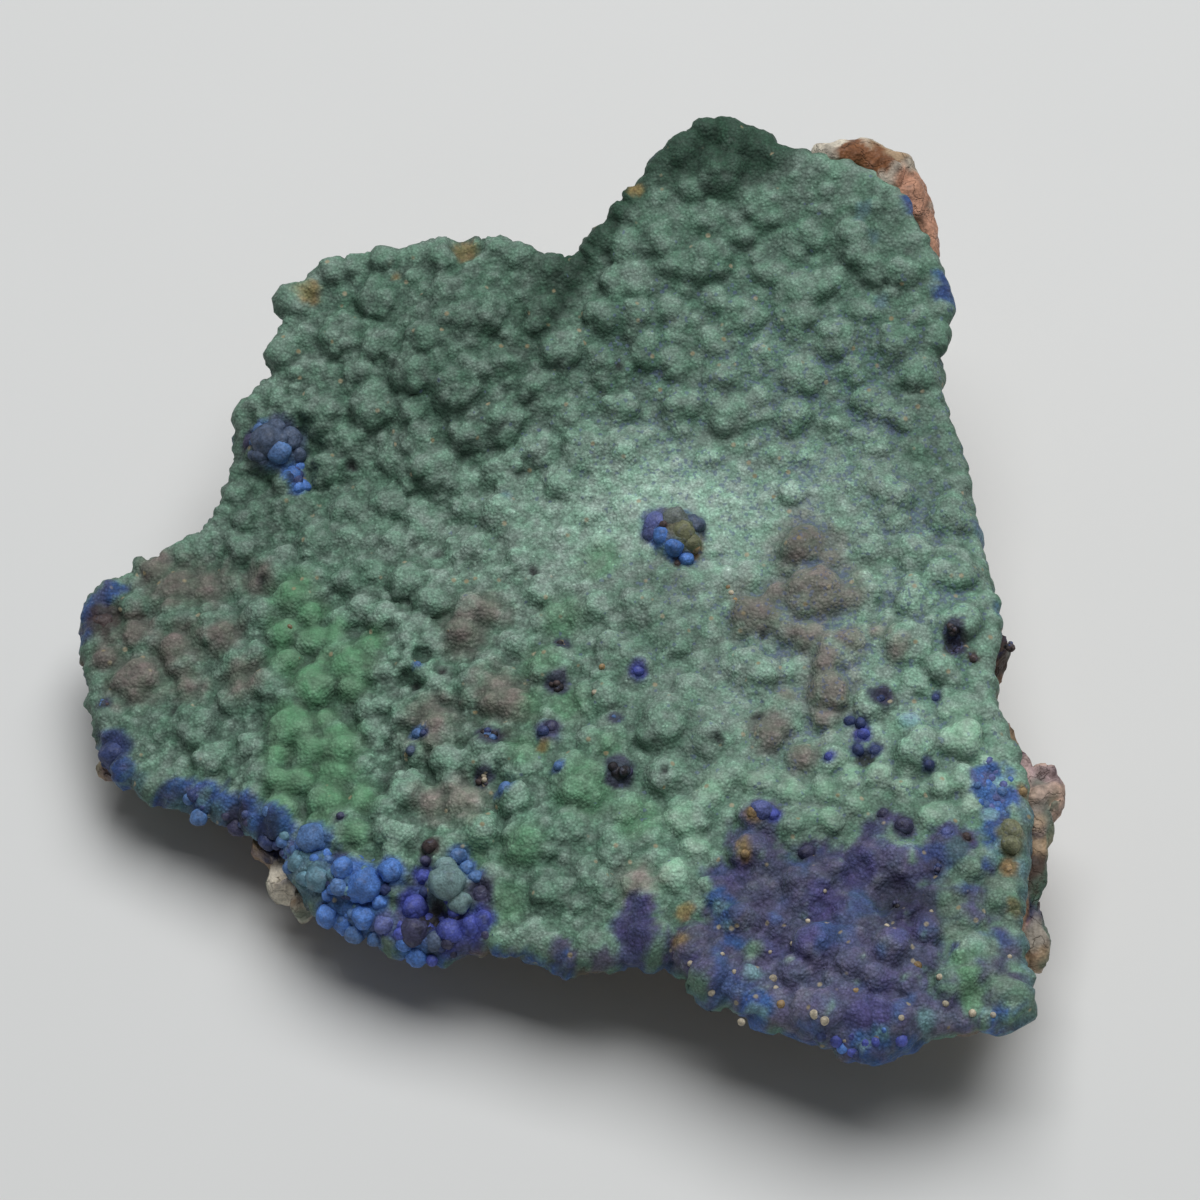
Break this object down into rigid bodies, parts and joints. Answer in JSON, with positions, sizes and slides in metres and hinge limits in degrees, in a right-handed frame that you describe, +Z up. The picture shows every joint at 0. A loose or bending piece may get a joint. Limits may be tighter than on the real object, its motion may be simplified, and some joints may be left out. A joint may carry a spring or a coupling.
{
  "type": "azurite malachite specimen",
  "caption": "Loose mineral specimen: a thin grape-like crust of green malachite with blue azurite on a broken piece of iron-stained quartz rock.",
  "frame": {"origin": "on the flat foot of the rock, under the middle of the crust", "axes": "+Z up through the crust, +Y towards the high back edge, +X to the right when seen from the low front edge"},
  "size_m": [0.0766, 0.0773, 0.0292],
  "materials": {
    "copper_carbonate": "velvety green malachite crust with azurite blue patches",
    "iron_stained_quartz": "rough broken quartz with rusty staining"
  },
  "bodies": {
    "root": {"malachite_crust": "copper_carbonate", "host_rock": "iron_stained_quartz"}
  },
  "joints": []
}
